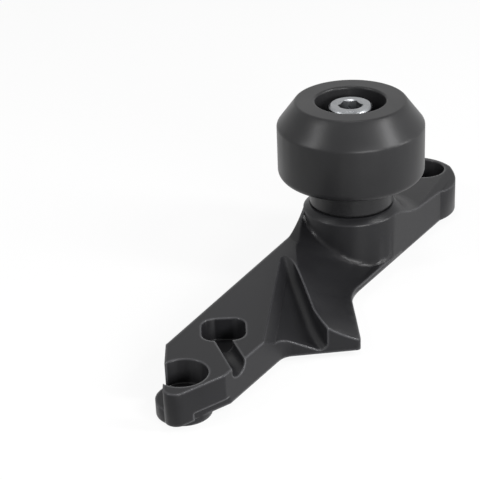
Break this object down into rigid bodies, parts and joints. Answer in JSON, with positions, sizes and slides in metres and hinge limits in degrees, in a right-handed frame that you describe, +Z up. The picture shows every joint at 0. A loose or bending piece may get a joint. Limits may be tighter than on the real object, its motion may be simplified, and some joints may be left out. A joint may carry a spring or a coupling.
{
  "type": "motorcycle frame slider",
  "caption": "Machined bracket with an arm, a milled web and a raised boss that carries a moulded crash puck on a sunk cap screw.",
  "frame": {"origin": "centre of the foot bore at the foot pad's seat face", "axes": "+Z up along the bores and the puck's bolt, +X along the bar to the far bore, +Y away from the milled web"},
  "size_m": [0.1951, 0.0633, 0.0636],
  "materials": {
    "bracket": "satin black anodised, bead blasted after milling",
    "slider_puck": "satin black turned acetal",
    "bolt_washer": "zinc plated steel",
    "puck_bolt": "bright zinc plated steel"
  },
  "bodies": {
    "root": {"bracket": "bracket", "slider_puck": "slider_puck", "bolt_washer": "bolt_washer", "puck_bolt": "puck_bolt"}
  },
  "joints": []
}
